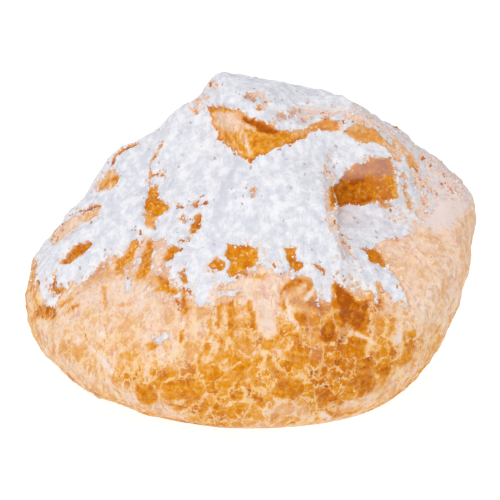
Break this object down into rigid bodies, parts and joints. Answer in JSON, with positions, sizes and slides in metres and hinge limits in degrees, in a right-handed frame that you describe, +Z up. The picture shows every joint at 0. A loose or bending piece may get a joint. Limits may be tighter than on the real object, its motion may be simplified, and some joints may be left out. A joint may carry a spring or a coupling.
{
  "type": "apple puff pastry",
  "caption": "Baked parcel of puff dough folded up over apple, its corners lapped on top, dusted with powdered sugar.",
  "frame": {"origin": "on the surface it stands on, under the middle of the parcel's box", "axes": "+X to the right and -Y towards the viewer of the shown side, +Z up"},
  "size_m": [0.1106, 0.094, 0.0735],
  "materials": {
    "baked_crust": "matt golden crust with powdered sugar on top"
  },
  "bodies": {
    "root": {"puff_pastry": "baked_crust"}
  },
  "joints": []
}
